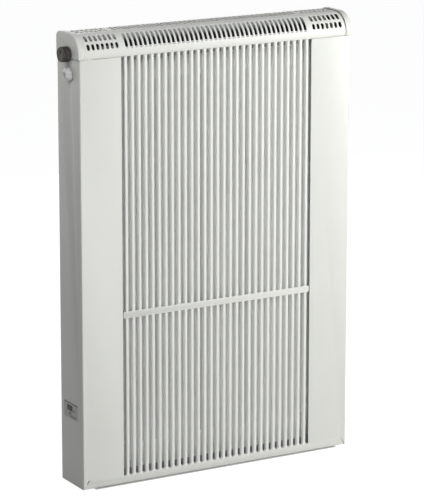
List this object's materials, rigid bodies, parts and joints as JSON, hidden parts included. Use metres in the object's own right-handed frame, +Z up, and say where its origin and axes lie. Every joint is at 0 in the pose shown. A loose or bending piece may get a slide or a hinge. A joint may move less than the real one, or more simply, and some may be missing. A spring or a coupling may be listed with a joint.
{
  "type": "cased hydronic radiator",
  "caption": "Tall wall-hung hydronic radiator in a slatted sheet casing with a slotted round-fronted hood, side valve knob and side air vent, pipes joining from below.",
  "frame": {"origin": "centre of the four wall screw holes, on the plane of the wall", "axes": "+Z up, +X to the right seen from the front, +Y back towards the wall"},
  "size_m": [0.6233, 0.0932, 0.8912],
  "materials": {
    "casing_paint": "satin powder coat",
    "cap_plastic": "satin",
    "panel_paint": "satin",
    "zinc_steel": "zinc plated",
    "pipe_steel": "zinc plated",
    "brass": "machined",
    "black_rubber": "matte",
    "knob_plastic": "satin",
    "vent_plastic": "translucent white",
    "plate_film": "satin label film"
  },
  "bodies": {
    "radiator": {"casing_shell": "casing_paint", "hood_cover": "casing_paint", "hood_end_cap_left": "cap_plastic", "hood_end_cap_right": "cap_plastic", "grille_bars": "casing_paint", "grille_crossbar": "casing_paint", "grille_top_rail": "casing_paint", "grille_bottom_rail": "casing_paint", "data_plate": "plate_film", "casing_hooks": "casing_paint", "casing_brackets": "zinc_steel", "bracket_screws": "zinc_steel", "wall_rail_left": "zinc_steel", "wall_rail_right": "zinc_steel", "rail_buffers": "black_rubber", "hanger_lugs": "panel_paint", "front_water_panel": "panel_paint", "rear_water_panel": "panel_paint", "convector_fins": "panel_paint", "tee_top_left": "panel_paint", "tee_top_right": "panel_paint", "tee_bottom_left": "panel_paint", "tee_bottom_right": "panel_paint", "blanking_plugs": "brass", "plug_seals": "black_rubber", "valve_body": "brass", "gland_nut": "brass", "gland_seal": "black_rubber", "valve_outlet_pipe": "pipe_steel", "supply_riser": "pipe_steel", "supply_connector": "brass", "supply_nut": "brass", "connection_plate": "zinc_steel", "vent_plug": "brass", "lockshield_body": "brass", "lockshield_gland": "brass", "lockshield_cap": "cap_plastic"},
    "knob": {"control_knob": "knob_plastic", "knob_set_screw": "pipe_steel", "valve_spindle": "pipe_steel"},
    "plunger": {"valve_plunger": "brass", "valve_washer": "black_rubber"},
    "vent_handle": {"vent_knob": "vent_plastic", "vent_stem": "pipe_steel"},
    "needle": {"vent_needle": "pipe_steel"},
    "lockshield_stem": {"lockshield_spindle": "pipe_steel"},
    "lockshield_disc": {"lockshield_plug": "brass"}
  },
  "joints": [
    {"name": "knob_turn", "type": "hinge", "parent": "radiator", "child": "knob", "pos_m": [-0.31, -0.051, 0.408], "axis": [-1, 0, 0], "range_deg": [0, 300]},
    {"name": "plunger_lift", "type": "slide", "parent": "radiator", "child": "plunger", "axis": [-1, 0, 0], "range_m": [0, 0.003]},
    {"name": "vent_turn", "type": "hinge", "parent": "radiator", "child": "vent_handle", "pos_m": [-0.305, -0.053, 0.369], "axis": [-1, 0, 0], "range_deg": [0, 360]},
    {"name": "needle_lift", "type": "slide", "parent": "radiator", "child": "needle", "axis": [-1, 0, 0], "range_m": [0, 0.001]},
    {"name": "lockshield_turn", "type": "hinge", "parent": "radiator", "child": "lockshield_stem", "pos_m": [-0.25, -0.053, -0.385], "axis": [-1, 0, 0], "range_deg": [0, 720]},
    {"name": "lockshield_lift", "type": "slide", "parent": "radiator", "child": "lockshield_disc", "axis": [-1, 0, 0], "range_m": [0, 0.003]}
  ],
  "couplings": [
    {"joint": "plunger_lift", "follows": "knob_turn", "m_per_rad": 0.00057295},
    {"joint": "needle_lift", "follows": "vent_turn", "m_per_rad": 0.00015915},
    {"joint": "lockshield_turn", "follows": "lockshield_lift", "rad_per_m": 4188.8}
  ]
}
